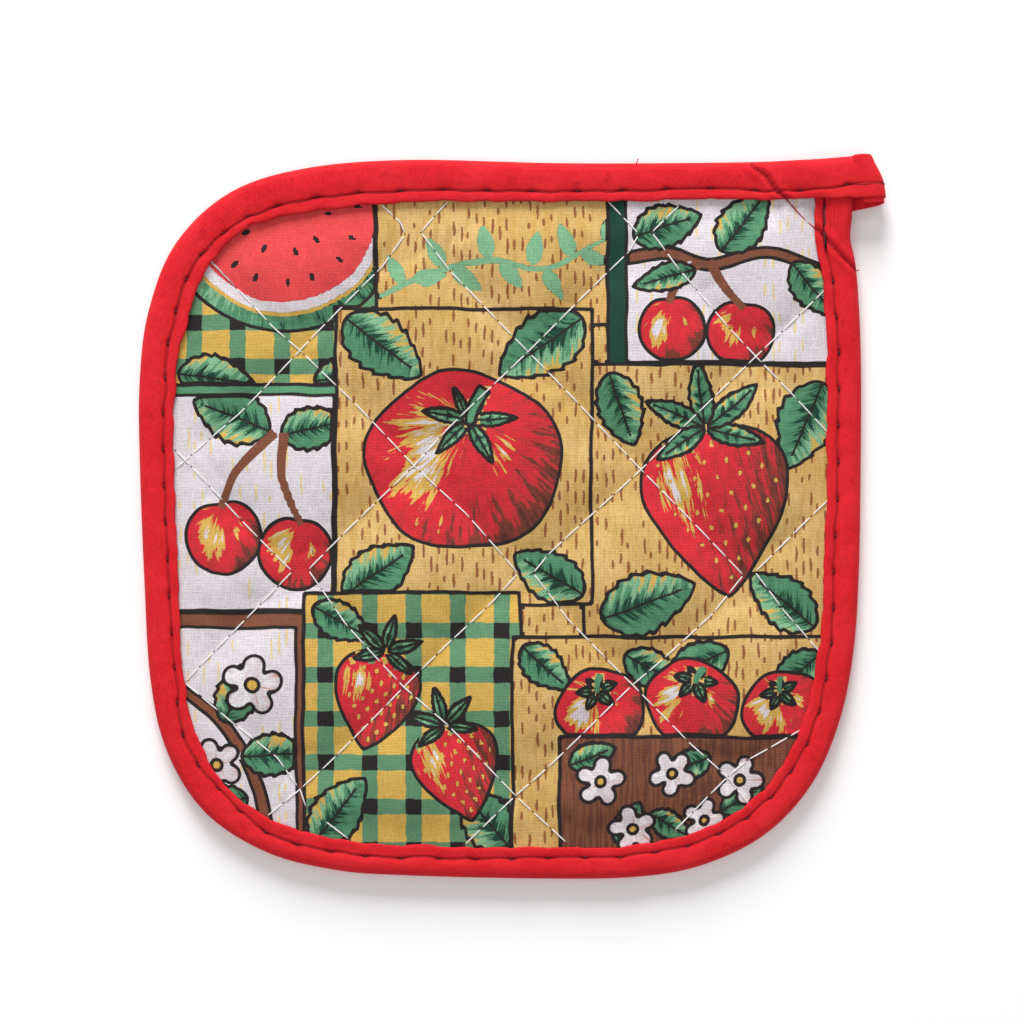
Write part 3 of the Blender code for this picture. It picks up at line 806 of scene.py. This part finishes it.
def printed_front():
    """The print: overlapping panels of fruit and leaves, inked round, on a plain weave."""
    material, grain = cotton("printed_front", "cloth")
    drift = grain.cloud(0.3, output=1)
    mm = drift.node("ShaderNodeVectorMath", {"operation": "MULTIPLY_ADD"},
                    {0: drift, 1: (0.7, 0.7, 0.0), 2: grain})
    x_mm, y_mm = mm.dot(1, 0), mm.dot(0, 1)

    def plate(name, output=1):
        return grain.node("ShaderNodeAttribute", {"attribute_name": name}, output=output)

    def on_ground(kind):
        return grain.maths("COMPARE", ground, float(kind), 0.4)

    # the panel on top here, or beyond its border the one below
    upper, lower = plate("over_panel"), plate("under_panel")
    beyond = upper.dot(1, 0)
    panel = (beyond > 0.0).over(upper, lower, "VECTOR")
    depth, ground, rim = panel.parts()
    edge = depth.least(abs(beyond))

    # straw and linen: short dashes in uneven columns
    linen = on_ground(LINEN_GROUND)
    width, height = 1.9, linen.over(7.5, 5.5, "FLOAT")
    column_at = x_mm / width
    column = column_at.floor()
    row_at = y_mm / height + column.chance() * 7.0
    luck = (column * 41.0 + row_at.floor()).chance()
    off_x = abs(column_at.fraction() - (0.35 + luck * 0.3)) * width
    off_y = abs(row_at.fraction() - 0.5) * height
    reach = (0.27 + luck * 0.5) * height * 0.5
    dash = (off_x - linen.over(0.26, 0.31, "FLOAT") * (1.15 - off_y / reach * 0.5)).soft(
        0.09, -0.07) * (off_y < reach) * (
            (luck * 7.13).fraction() < linen.over(0.44, 0.66, "FLOAT"))
    colour = grain.cloud(0.05).soft(0.3, 0.75).over(shade(220, 184, 120), STRAW)
    streak = grain.streaks(1.3, 11.0)
    colour = (streak.soft(0.46, 0.66) * 0.45).over(shade(196, 150, 70), colour)
    colour = linen.over(PALE, colour)
    colour = (dash * 0.85).over(linen.over(PALE_DASH, DASH), colour)

    # check: green stripes both ways on mustard, black where they cross
    warp = abs((x_mm / 11.0 + 0.2).fraction() - 0.5).soft(0.31, 0.33)
    weft = abs((y_mm / 11.0 + 0.55).fraction() - 0.5).soft(0.31, 0.33)
    check = warp.most(weft).over(CHECK_GREEN, MUSTARD)
    check = (warp * weft).over(INK, check)
    colour = on_ground(CHECK_GROUND).over(check, colour)

    # brown: darker strokes side by side
    strokes = grain.streaks(0.8, 9.0, 1.0)
    brown = strokes.soft(0.4, 0.62).over(shade(104, 62, 50), BARK)
    colour = on_ground(BROWN_GROUND).over(brown, colour)

    # frames: a band inside the border, inked along its inner side
    band_colour = (rim > 4.2).over(DEEP_LEAF, (rim > 3.2).over(BARK, LEAF))
    colour = (depth < rim).over(band_colour, colour)
    colour = (abs(depth - rim).soft(0.55, 0.30) * (rim > 1.0)).over(INK, colour)

    # the motif on top here, or beyond its outline the one below: hatched in its own inks
    upper, lower = plate("over_shape"), plate("under_shape")
    top_one = upper.dot(1, 0) > 0.0
    depth, dark, light = top_one.over(upper, lower, "VECTOR").parts()
    flow = top_one.over(plate("over_flow"), plate("under_flow"), "VECTOR")
    body, deep, pale, bright = (
        top_one.over(plate("over_" + name, 0), plate("under_" + name, 0))
        for name in ("body", "shade", "light", "bright"))
    fine, broad = flow.streaks(0.55, 5.0), flow.streaks(1.9, 14.0, 1.0)
    mottle = grain.cloud(0.5)
    vein = abs((flow.dot(1 / 3.1, 0)).fraction() - 0.5)
    hatch = dark + (fine - 0.5) * 1.6 + (0.25 - vein) * 0.9
    lit = light + (broad - 0.5) * 1.4 + (fine - 0.5) * 1.1
    motif = (mottle.soft(0.56, 0.42) * 0.14).over(deep, body)
    motif = (hatch.soft(0.05, 0.52) * 0.30).over(deep, motif)
    motif = lit.soft(0.42, 0.50).over(pale, motif)
    motif = lit.soft(0.80, 0.88).over(bright, motif)
    motif = hatch.soft(0.54, 0.62).over(deep, motif)
    motif = (hatch.soft(0.86, 1.02) * 0.5).over(INK, motif)
    motif = abs(flow.dot(0, 0, 1)).soft(0.36, 0.20).over(INK, motif)
    motif = depth.soft(1.0, 0.72).over(INK, motif)
    colour = (depth > 0.0).over(motif, colour)

    # each panel's inked border
    colour = edge.soft(0.62, 0.36).over(INK, colour)

    # the cloth itself: single threads, and dye taken up unevenly
    weave = woven(grain, 0.38)
    thread = grain.threads(3.2, 0.36, 1.0)
    speck = grain.cloud(1.6, 1.0)
    uptake = (0.43 + thread * 0.52 + weave * 0.24 + speck * 0.26) * (
        0.92 + grain.cloud(0.12) * 0.16)
    colour = uptake.node(
        "ShaderNodeVectorMath", {"operation": "SCALE"}, {0: colour, "Scale": uptake})
    return finish(material, colour, weave + thread * 0.8, 0.6, 0.00014, 0.85, 0.25)


def plain_back():
    """Unprinted natural cotton."""
    material, mm = cotton("plain_back", "cloth")
    weave, slub = woven(mm, 0.42), mm.threads(5.0, 0.4, 2.0)
    tone = (slub + weave * 0.2).over(shade(232, 224, 206), shade(206, 196, 174))
    return finish(material, tone, weave + slub, 0.4, 0.0001, 0.88)


print_patchwork()
pad.data.materials.append(printed_front())
pad.data.materials.append(plain_back())
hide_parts("pad")
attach(pad, "root")


# ---------------------------------------------------------------- the quilting stitches
# White cotton thread, one stitch after another along every seam, on the front and on the
# back. Each stitch dives into its needle hole, where a small dark mark is painted shade in the
# hole.

STITCH = 5.9 * MM
THREAD = 0.21 * MM           # half the thread's thickness
DIVE = 0.35 * MM
SHOWN = 0.90                 # share of a stitch's length that lies on the cloth
UNSTEADY = 0.09              # how much longer or shorter than usual a stitch may be


def stitches(name, lines, radius, dive, rings=9):
    """One piece of as many stitches as there are lines; each goes down at both its ends."""
    bm = bmesh.new()
    bmesh.ops.create_uvsphere(bm, u_segments=6, v_segments=rings, radius=1.0)
    one = bpy.data.meshes.new("one_stitch")
    bm.to_mesh(one)
    shape = coords(one)
    for _ in lines[1:]:
        bm.from_mesh(one)
    bpy.data.meshes.remove(one)
    around = np.hypot(shape[:, 0], shape[:, 1])
    spread = radius * around ** 0.35 / np.maximum(around, 1e-6)
    placed = []
    for line in lines:
        here = along_run(line, np.linspace(-1.0, 1.0, len(line)), shape[:, 2])
        ahead = (line[-1] - line[0]) / np.linalg.norm(line[-1] - line[0])
        aside = np.array((-ahead[1], ahead[0], 0.0))
        up = np.cross(ahead, aside)
        here += (shape[:, :1] * aside + shape[:, 1:2] * up) * spread[:, None]
        here -= up * (dive * np.abs(shape[:, 2:]) ** 5)
        placed.append(here)
    for v, place in zip(bm.verts, np.vstack(placed)):
        v.co = place
    return as_piece(name, bm)


def hole_shade_marks(name, spots, half_length, radius):
    """One piece of small dark marks, painted shade in the holes where the needle went through.
    """
    half = np.array((half_length, 0.0, 0.0))
    return stitches(name, [np.array((-half, 0 * half, half)) + spot for spot in spots],
                    radius, 0.0, rings=4)


def seam_lines(side):
    """Where each stitch lies on one face of the pad, and where the needle went through."""
    lines, holes = [], []
    for run in seam_runs[0] + seam_runs[1]:
        track, length = evenly(run, 0.4 * MM)
        marks = np.linspace(0.0, length[-1], max(1, round(length[-1] / STITCH)) + 1)
        marks[1:-1] += [random.uniform(-UNSTEADY, UNSTEADY) * STITCH for _ in marks[1:-1]]
        if side < 0:
            marks = (marks[:-1] + marks[1:]) / 2
        x, y = track[:, 0], track[:, 1] + 0.12 * MM * np.sin(length / (7 * MM))
        z = landed(pad_tree, x, y, side) + side * THREAD * 0.55
        track = np.column_stack((x, y, z))
        holes += list(along_run(track, length, marks))
        for start, end in zip(marks, marks[1:]):
            spare = (end - start) * (1 - SHOWN) / 2
            line = along_run(track, length, np.linspace(start + spare, end - spare, 13))
            taut = np.linspace(line[0, 2], line[-1, 2], len(line))
            line[:, 2] = (np.maximum if side > 0 else np.minimum)(line[:, 2], taut)
            lines.append(line)
    single = []
    for hole in holes:
        if all(math.dist(hole, other) > 0.5 * MM for other in single):
            single.append(hole)
    return lines, single


def spun(name, colour, worn):
    """Spun thread: matt, a little fluffy and uneven."""
    material = bpy.data.materials.new(name)
    material.use_nodes = True
    source = Dye(material.node_tree.nodes.new("ShaderNodeTexCoord").outputs["Object"])
    fluff = source.node("ShaderNodeTexNoise", {}, {
        "Vector": source, "Scale": 2600.0, "Detail": 2.0})
    tone = fluff.soft(0.25, 0.7).over(colour, worn)
    return finish(material, tone, fluff, 0.5, 0.0001, 0.7)


random.seed(7)
front_lines, holes = seam_lines(1)
back_lines, _ = seam_lines(-1)
thread = stitches("quilting_stitches", front_lines, THREAD, DIVE)
back_thread = stitches("quilting_stitches_below", back_lines, THREAD, -DIVE)
# small dark marks of painted shade in the needle holes, and their dark look
needle_hole_shades = hole_shade_marks("needle_hole_shades", np.array(holes) - (0, 0, THREAD * 0.6),
                            0.22 * MM, 0.20 * MM)
hole_shade_look = spun("needle_hole_shade", shade(96, 66, 54), shade(60, 44, 40))
white_thread = spun("white_thread", shade(240, 238, 236), shade(204, 202, 202))
for piece, look in ((needle_hole_shades, hole_shade_look), (thread, white_thread),
                    (back_thread, white_thread)):
    piece.data.materials.append(look)
    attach(piece, "root")


# ---------------------------------------------------------------- the bias tape
# One long strip of red cotton, cut on the bias and folded over the pad's raw edge. It starts
# at the top right corner, runs round clockwise, laps over its own start, and its tail is
# pressed flat and folded back under the corner as the hanging loop.

TAPE = 0.95 * MM             # both plies of the folded tape
TAPE_GAP = 0.3 * MM
RIM_ROOM = 1.3 * MM          # half the room for the squeezed pad
CORNER_ROOM = 0.7 * MM
LAP_HEIGHT = TAPE + 1.2 * TAPE_GAP
LAP_FROM = 71.0 * MM         # x on the top run where the tape climbs over its own start
LAP_RUN = 4.5 * MM
SEWN_LINE = 2.2 * MM         # usual way from the front flap's edge to its stitches
SUNK = 0.42 * MM             # how deep they lie
LIP_ROUND = 0.35 * MM        # the rounding of a flap's edge
ROLL = 2.4 * MM              # how far in the turn over the rim reaches
BACK_SHORTER = 1.0 * MM      # the back flap is narrower than the front one
TAPE_STITCH = 9.2 * MM
TOP_STITCH = 11.1 * MM       # along the top the stitches are longer
TOP_FROM = -62 * MM          # x where they begin to be
FOLD_DEPTH, FOLD_WIDTH = 0.72 * MM, 0.45 * MM      # the crease on the tape
PLY = 0.55 * MM              # one flap of the flattened tail
PLY_GAP = 0.05 * MM
TAIL_TOP = 7.9 * MM
TO_FOLD = 3.8 * MM           # the tail's length before its fold
FOLD_TOP = (92.3 * MM, 90.5 * MM)      # the loop's fold, its two ends
FOLD_BOTTOM = (93.8 * MM, 79.7 * MM)
PULLED_IN = 2.0 * MM         # how far the fold's upper corner is drawn back
RETURN = 8.0 * MM            # the leg under the corner

# Steps across the front flap from its inner edge to just past its line of stitches.
LIP_STEPS = np.array((0.0, 0.05, 0.15, 0.35, 0.6, 0.9, 1.2, 1.5, 1.75, 1.95, 2.1, 2.2, 2.3,
                      2.45, 2.65, 2.95, 3.3)) * MM
SEWN_STEP = 11


def rounding(way_in):
    """0 at a flap's very edge, 1 where it has its full thickness."""
    return np.sqrt(np.clip(1 - (1 - way_in / LIP_ROUND).clip(0) ** 2, 0, 1))


def flap_profile(width, back_width, roll, lip):
    """The folded tape's section from the front flap's edge over the rim to the back flap's.

    For the outer and the inner face: the way in from the edge, which side of the filling
    (1 front to -1 back) and the height over that side's inner face. The line of stitches
    lies lip times its usual way in.
    """
    body = np.linspace(LIP_STEPS[-1] * lip, width - roll, 7)[1:]
    down = np.concatenate((LIP_STEPS * lip, body))
    past_sewn = 2.3 * MM * lip
    raised = (0.10 * MM * hump(down - 1.05 * MM, 0.6 * MM)
              - SUNK * hump(down - SEWN_LINE * lip, 0.28 * MM)
              + 0.30 * MM * np.sin(math.pi * np.clip(
                  (down - past_sewn) / (width - roll / 2 - past_sewn), 0, 1)))
    rounded = rounding(down)
    out_over = TAPE / 2 + TAPE / 2 * rounded + raised * rounded
    turn = np.radians(np.linspace(90, -90, 15)[1:-1])
    swell = (out_over[-1] - TAPE) * np.clip(np.sin(turn), 0, 1) ** 2
    back = np.concatenate((np.linspace(roll, back_width - LIP_ROUND, 7),
                           back_width - np.array((0.15, 0.05, 0.0)) * MM))
    back_round = rounding(back_width - back)
    side = np.concatenate((np.ones(len(down)), np.sin(turn), -np.ones(len(back))))
    outer = np.stack((
        np.concatenate((width - down, roll * (1 - np.cos(turn)), back)), side,
        np.concatenate((out_over, TAPE * np.sin(turn) + swell,
                        -TAPE / 2 - TAPE / 2 * back_round))), axis=1)
    inner = np.stack((
        np.concatenate((width - down, TAPE + max(roll - TAPE, 0) * (1 - np.cos(turn)), back)),
        side,
        np.concatenate((TAPE / 2 - TAPE / 2 * rounded, np.zeros(len(turn)),
                        -TAPE / 2 + TAPE / 2 * back_round))), axis=1)
    return outer, inner


stations, station_length = evenly(edge_run, 0.7 * MM)
ahead_of, inward_of = headings(stations)
tail_ahead, tail_across = ahead_of[-1], inward_of[-1]
corner_end, tail_width = stations[-1, :2], stations[-1, 2]
tail_lip = stations[-1, 3] / SEWN_LINE

leg = PLY + PLY_GAP
fold_radius = TAIL_TOP / 2 - leg
fold_down = np.array(FOLD_BOTTOM) - FOLD_TOP
fold_down /= np.linalg.norm(fold_down)
fold_out = np.array((-fold_down[1], fold_down[0]))
fold_axis = fold_out @ FOLD_TOP - fold_radius - leg


def folded(place, offset):
    """A point of the flat tail, offset from its middle, where the fold takes it."""
    out = fold_out @ place - fold_axis
    turn = min(max(out / fold_radius, 0.0), math.pi)
    straight = out - turn * fold_radius
    reach = (fold_radius + offset) * math.sin(turn) + straight * math.cos(turn)
    x, y = fold_out * (fold_axis + reach) + fold_down * (fold_down @ place)
    x -= PULLED_IN * eased((y - 83.0 * MM) / (7.5 * MM)) * eased((x - 83.0 * MM) / (7.0 * MM))
    return x, y, TAIL_TOP / 2 + (fold_radius + offset) * math.cos(turn)


# how far along the tape each needle hole lies
hole_at = [0.0]
while hole_at[-1] < station_length[-1] + 25 * MM:
    x, y = (np.interp(hole_at[-1], station_length, column) for column in stations.T[:2])
    on_top = hole_at[-1] > station_length[-1] / 2 and y > 0 and x > TOP_FROM
    hole_at.append(hole_at[-1] + (TOP_STITCH if on_top else TAPE_STITCH))
hole_at = np.array(hole_at)

# the tape's section at each station round the pad
rings, lengths = [], []
for number, ((x0, y0, width, sewn_in), way_in, along) in enumerate(
        zip(stations, inward_of, station_length)):
    last_run = number > len(stations) // 2
    lap = LAP_HEIGHT * eased((x0 - LAP_FROM) / LAP_RUN) * last_run
    wave = noise.noise((along / (6 * MM), 0.3, 2.0)) * 0.55 * MM
    pull = hump(np.abs(hole_at - along).min(), 1.1 * MM)
    lip = sewn_in / SEWN_LINE
    outer, inner = flap_profile(width + wave - 0.22 * MM * pull, width - BACK_SHORTER,
                                ROLL, lip)
    ring = []
    for face in (outer, inner[::-1]):
        x, y = x0 + way_in[0] * face[:, 0], y0 + way_in[1] * face[:, 0]
        corner = corner_share(x, y)
        room = RIM_ROOM + (CORNER_ROOM - RIM_ROOM) * corner + TAPE_GAP + lap
        z = MIDDLE + CORNER_LIFT * corner + face[:, 1] * room + face[:, 2]
        if face is outer:
            front = np.clip(face[:, 1], 0, 1) * (1 - corner * (0 if last_run else 1))
            from_sewn = np.abs(width - face[:, 0] - SEWN_LINE * lip)
            gap = from_crease(x, y)
            z -= front * pull * 0.28 * MM * hump(from_sewn, 0.9 * MM)
            z += front * 0.16 * MM * wander(x, y, 2.2 * MM, 5.5) * eased(from_sewn / (2 * MM))
            z += front * 0.22 * MM * wander(x, y, 7.5 * MM, 1.5)
            z -= front * FOLD_DEPTH * hump(gap, FOLD_WIDTH)
            z += front * 0.42 * MM * hump(gap - 1.3 * MM, 0.8 * MM)
        ring.extend(zip(x, y, z))
    rings.append(ring)
    lengths.append(along)

# and at each step of the tail: up to the fold, round it, and back under the corner
tail_steps = np.concatenate((np.linspace(0, 1, 7)[1:-1] - 1.0,
                             np.linspace(0.0, math.pi, 15) * fold_radius,
                             math.pi * fold_radius + np.linspace(0, RETURN, 9)[1:]))
for out in tail_steps:
    pressed = eased((out + 1.0) * 2.2) if out < 0 else 1.0
    wave = noise.noise((float(out) / (6 * MM), 4.3, 2.0)) * 0.2 * MM
    outer, inner = flap_profile(
        tail_width + wave, tail_width - BACK_SHORTER + 2.3 * MM * pressed,
        ROLL - 1.2 * MM * pressed, tail_lip)
    ring = []
    for across, side, over in (*outer, *inner[::-1]):
        start = corner_end + tail_across * across
        whole = (fold_axis - fold_out @ start) / (fold_out @ tail_ahead)
        if out < 0:
            place = start + tail_ahead * whole * (1.0 + out)
            open_room = CORNER_ROOM + TAPE_GAP + LAP_HEIGHT
            z_open = MIDDLE + CORNER_LIFT + side * open_room + over
        else:
            place = start + tail_ahead * (whole + out / (fold_out @ tail_ahead))
            z_open = 0.0
        x, y, z = folded(place, side * PLY_GAP + over / (TAPE + 0.3 * MM) * PLY)
        ring.append((x, y, z * pressed + z_open * (1 - pressed)))
    rings.append(ring)
    lengths.append(station_length[-1] + (TO_FOLD * (1.0 + out) if out < 0 else TO_FOLD + out))
rings, lengths = np.array(rings), np.array(lengths)
for end in (0, -1):          # the strip's two ends are closed: outer and inner face meet
    rings[end] = (rings[end] + rings[end][::-1]) / 2

bm = bmesh.new()
across_count = rings.shape[1]
bmesh.ops.create_grid(bm, x_segments=len(rings) - 1, y_segments=across_count, size=1.0)
tape_map = bm.loops.layers.uv.new("tape")
# a value per vertex that darkens the tape: painted shade in the sunk line of stitches, more
# beside each needle hole, and along the crease
sewn_and_painted_shade = bm.verts.layers.float.new("sewn_and_painted_shade")
usual = np.vstack((rings[200], rings[200][:1]))
way_round = np.concatenate(([0.0], np.cumsum(np.linalg.norm(np.diff(usual, axis=0), axis=1))))
index = {v: (round((v.co.x + 1) / 2 * (len(rings) - 1)), round((v.co.y + 1) / 2 * across_count))
         for v in bm.verts}
for face in bm.faces:
    for loop in face.loops:
        i, k = index[loop.vert]
        loop[tape_map].uv = (lengths[i], way_round[k])
near_hole = hump(np.abs(lengths[:, None] - hole_at).min(axis=1), 1.7 * MM)
for v, (i, k) in index.items():
    v.co = rings[i, k % across_count]
    if k < len(LIP_STEPS):
        from_sewn = abs(LIP_STEPS[k] - SEWN_LINE)
        v[sewn_and_painted_shade] = (0.60 * hump(from_sewn, 0.20 * MM)
                   + 0.40 * hump(from_sewn, 0.42 * MM) * near_hole[i])
    # painted shade along the crease
    if k < across_count // 2 and min(v.co.x, v.co.y) > 55 * MM:
        gap = from_crease(*np.array(v.co)[:2, None])[0]
        v[sewn_and_painted_shade] = max(v[sewn_and_painted_shade], 0.72 * hump(gap, FOLD_WIDTH))
bmesh.ops.remove_doubles(bm, verts=bm.verts, dist=1e-7)
bmesh.ops.recalc_face_normals(bm, faces=bm.faces)
tape = as_piece("bias_tape", bm)


def red_tape():
    """Dyed cotton cut on the bias, so that its weave runs at 45 degrees to the strip."""
    material, grain = cotton("red_bias_tape", "tape")
    bias = grain.placed(turn=math.radians(45))
    weave, threads = woven(bias, 0.36), bias.threads(3.0, 0.34, 1.0)
    fade, crease_dip_and_shade = grain.cloud(0.09, 3.0), grain.streaks(4.0, 1.2)
    painted_stitch_shade = bias.node("ShaderNodeAttribute", {"attribute_name": "sewn_and_painted_shade"}, output="Fac")
    speck = bias.cloud(1.4)
    colour = (threads * 0.8 + weave * 0.3 + speck * 0.5 - 0.25).over(
        shade(232, 34, 44), shade(176, 12, 28))
    colour = (fade.soft(0.35, 0.7) * 0.4).over(shade(232, 44, 52), colour)
    # darker streaks at random: painted shade of small creases in the tape
    colour = (crease_dip_and_shade.soft(0.62, 0.78) * 0.35).over(shade(168, 14, 30), colour)
    # painted shade in the line of stitches, round the needle holes and along the crease
    colour = (painted_stitch_shade * 0.9).over(shade(70, 4, 14), colour)
    relief = weave * 0.7 + threads + speck * 0.5
    return finish(material, colour, relief, 0.6, 0.00014, 0.85, 0.2)


tape.data.materials.append(red_tape())
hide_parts("binding", "hanging_loop")
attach(tape, "root")


# ---------------------------------------------------------------- the edge stitches
# Red thread that sews the tape down through the pad, in long stitches sunk into the front
# flap, with two cut ends left standing, and a loose end that lies along the crease.

CUT_ENDS = ((31.0, 87.8, 4.3, 1.3), (85.1, 61.2, 4.3, 0.3))   # where, and which way, radians
CUT_LENGTH = 2.1

sewn_track, sewn_along = rings[:-9, SEWN_STEP], lengths[:-9]
hole_at = hole_at[hole_at < sewn_along[-1]]
lines = []
for start, end in zip(hole_at, hole_at[1:]):
    places = np.linspace(start + 0.5 * MM, end - 0.5 * MM, 11)
    lines.append(along_run(sewn_track, sewn_along, places) + (0.0, 0.0, 0.08 * MM))
t = np.linspace(0, 1, 6)
for x, y, z, lean in CUT_ENDS:
    lines.append(np.column_stack((x + math.cos(lean) * t * CUT_LENGTH,
                                  y + math.sin(lean) * t * CUT_LENGTH, z - 0.4 * t * t)) * MM)
loose, _ = evenly(crease[3:8], 0.8 * MM)
for part in np.array_split(np.arange(len(loose)), 2):
    x, y = loose[part[0]:part[-1] + 2].T
    lines.append(np.column_stack((x, y, landed(pad_tree, x, y) + 0.12 * MM)))
edge_thread = stitches("edge_stitches", lines, 0.17 * MM, 0.3 * MM)
# dark red marks at the tape's needle holes: painted shade in the holes, with their dark red
# look
edge_hole_shades = hole_shade_marks(
    "edge_needle_hole_shades", along_run(sewn_track, sewn_along, hole_at[1:]) + (0, 0, 0.1 * MM),
    0.35 * MM, 0.40 * MM)
red_hole_shade_look = spun("red_needle_hole_shade", shade(84, 6, 16), shade(50, 2, 10))
red_thread = spun("red_thread", shade(190, 18, 32), shade(140, 8, 22))
for piece, look in ((edge_hole_shades, red_hole_shade_look), (edge_thread, red_thread)):
    piece.data.materials.append(look)
    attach(piece, "root")


# ---------------------------------------------------------------- light, floor and camera
# Soft light from far behind the top edge and a weaker one from above, a pale table, and the
# camera straight above.

LIGHTS = (
    # where, how large, how strong, in metres and watts
    ((-0.32, 2.10, 1.02), 1.0, 66.0),
    ((0.0, -0.3, 2.6), 2.2, 13.0),
)
LENS, SENSOR = 100.0, 36.0
ACROSS = 0.256               # what the picture shows at the pad's height

for number, (place, size, power) in enumerate(LIGHTS):
    lamp = bpy.data.lights.new(f"soft_light_{number}", "AREA")
    lamp.shape, lamp.size, lamp.energy = "SQUARE", size, power
    light = into_scene(f"soft_light_{number}", lamp)
    light.location = place
    light.rotation_euler = Vector(place).to_track_quat("Z", "Y").to_euler()

world = bpy.data.worlds.new("studio")
world.use_nodes = True
background = world.node_tree.nodes["Background"].inputs
background["Color"].default_value = (1.0, 1.0, 1.0, 1.0)
background["Strength"].default_value = 0.45
bpy.context.scene.world = world
bpy.context.scene.view_settings.view_transform = "Standard"

bm = bmesh.new()
bmesh.ops.create_grid(bm, x_segments=1, y_segments=1, size=1.5)
floor = as_piece("table", bm)
floor_look = bpy.data.materials.new("pale_table")
floor_look.use_nodes = True
surface = floor_look.node_tree.nodes["Principled BSDF"].inputs
surface["Base Color"].default_value = (0.97, 0.97, 0.97, 1.0)
surface["Roughness"].default_value = 0.9
floor.data.materials.append(floor_look)

camera_data = bpy.data.cameras.new("camera")
camera_data.lens, camera_data.sensor_width = LENS, SENSOR
camera = into_scene("camera", camera_data)
camera.location = (0.0, 0.0012, ACROSS * LENS / SENSOR + 0.005)
bpy.context.scene.camera = camera
